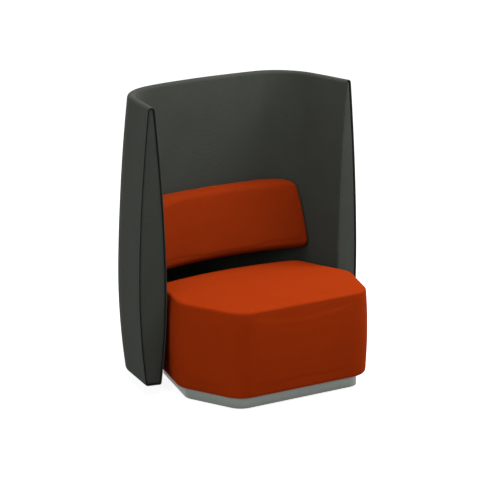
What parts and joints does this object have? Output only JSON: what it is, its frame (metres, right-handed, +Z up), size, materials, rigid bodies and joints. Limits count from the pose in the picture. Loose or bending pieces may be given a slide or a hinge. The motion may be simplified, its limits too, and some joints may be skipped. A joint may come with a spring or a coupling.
{
  "type": "acoustic high back lounge chair",
  "caption": "Fixed lounge chair: a faceted upholstered seat block on a recessed plinth, wrapped by a tall curved padded screen with a lumbar cushion.",
  "frame": {"origin": "on the floor under the middle of the chair's bounding box, at the undersides of the glides screwed right in", "axes": "+Z up, the sitter faces -Y, +X is to the right of someone who looks at the chair's front; the chair mirrors across X = 0"},
  "size_m": [1.164, 0.9025, 1.296],
  "materials": {
    "plywood": "matte",
    "softwood": "matte",
    "plinth_laminate": "satin",
    "zinc_steel": "satin",
    "brass_insert": "satin",
    "glide_plastic": "matte",
    "webbing": "matte",
    "foam": "matte",
    "wadding": "matte",
    "hardwood_spacer": "matte",
    "seat_cloth": "matte",
    "lumbar_cloth": "matte",
    "screen_cloth": "matte",
    "black_welt": "matte"
  },
  "bodies": {
    "chair": {"plinth_boards": "plywood", "plinth_corner_blocks": "softwood", "plinth_band": "plinth_laminate", "plinth_screws": "zinc_steel", "glide_inserts": "brass_insert", "seat_base_board": "plywood", "seat_carcass_panels": "plywood", "seat_corner_battens": "softwood", "seat_webbing_straps": "webbing", "seat_side_foam": "foam", "seat_top_foam": "foam", "seat_wadding": "wadding", "seat_cover": "seat_cloth", "screen_core": "plywood", "screen_outer_rail": "softwood", "screen_inner_rail": "softwood", "screen_outer_foam": "foam", "screen_inner_foam": "foam", "screen_cover": "screen_cloth", "end_panel_left": "screen_cloth", "end_panel_right": "screen_cloth", "end_welt_left": "black_welt", "end_welt_right": "black_welt", "screen_spacers": "hardwood_spacer", "screen_bolts": "zinc_steel", "screen_tee_nuts": "zinc_steel", "lumbar_board": "plywood", "lumbar_foam": "foam", "lumbar_cover": "lumbar_cloth", "lumbar_sleeves": "hardwood_spacer", "lumbar_bolts": "zinc_steel", "lumbar_tee_nuts": "zinc_steel"},
    "pad_front_left": {"glide_pad_front_left": "glide_plastic"},
    "stud_front_left": {"glide_stud_front_left": "zinc_steel"},
    "pad_front_right": {"glide_pad_front_right": "glide_plastic"},
    "stud_front_right": {"glide_stud_front_right": "zinc_steel"},
    "pad_rear_left": {"glide_pad_rear_left": "glide_plastic"},
    "stud_rear_left": {"glide_stud_rear_left": "zinc_steel"},
    "pad_rear_right": {"glide_pad_rear_right": "glide_plastic"},
    "stud_rear_right": {"glide_stud_rear_right": "zinc_steel"}
  },
  "joints": [
    {"name": "glide_reach_front_left", "type": "slide", "parent": "chair", "child": "pad_front_left", "axis": [0, 0, -1], "range_m": [0, 0.0101]},
    {"name": "glide_turn_front_left", "type": "hinge", "parent": "pad_front_left", "child": "stud_front_left", "pos_m": [-0.28499, -0.35974, 0.01], "axis": [0, 0, -1], "range_deg": [0, 2880]},
    {"name": "glide_reach_front_right", "type": "slide", "parent": "chair", "child": "pad_front_right", "axis": [0, 0, -1], "range_m": [0, 0.0101]},
    {"name": "glide_turn_front_right", "type": "hinge", "parent": "pad_front_right", "child": "stud_front_right", "pos_m": [0.28499, -0.35974, 0.01], "axis": [0, 0, -1], "range_deg": [0, 2880]},
    {"name": "glide_reach_rear_left", "type": "slide", "parent": "chair", "child": "pad_rear_left", "axis": [0, 0, -1], "range_m": [0, 0.0101]},
    {"name": "glide_turn_rear_left", "type": "hinge", "parent": "pad_rear_left", "child": "stud_rear_left", "pos_m": [-0.2695, 0.20458, 0.01], "axis": [0, 0, -1], "range_deg": [0, 2880]},
    {"name": "glide_reach_rear_right", "type": "slide", "parent": "chair", "child": "pad_rear_right", "axis": [0, 0, -1], "range_m": [0, 0.0101]},
    {"name": "glide_turn_rear_right", "type": "hinge", "parent": "pad_rear_right", "child": "stud_rear_right", "pos_m": [0.2695, 0.20458, 0.01], "axis": [0, 0, -1], "range_deg": [0, 2880]}
  ],
  "couplings": [
    {"joint": "glide_reach_front_left", "follows": "glide_turn_front_left", "m_per_rad": 0.00019894},
    {"joint": "glide_reach_front_right", "follows": "glide_turn_front_right", "m_per_rad": 0.00019894},
    {"joint": "glide_reach_rear_left", "follows": "glide_turn_rear_left", "m_per_rad": 0.00019894},
    {"joint": "glide_reach_rear_right", "follows": "glide_turn_rear_right", "m_per_rad": 0.00019894}
  ]
}
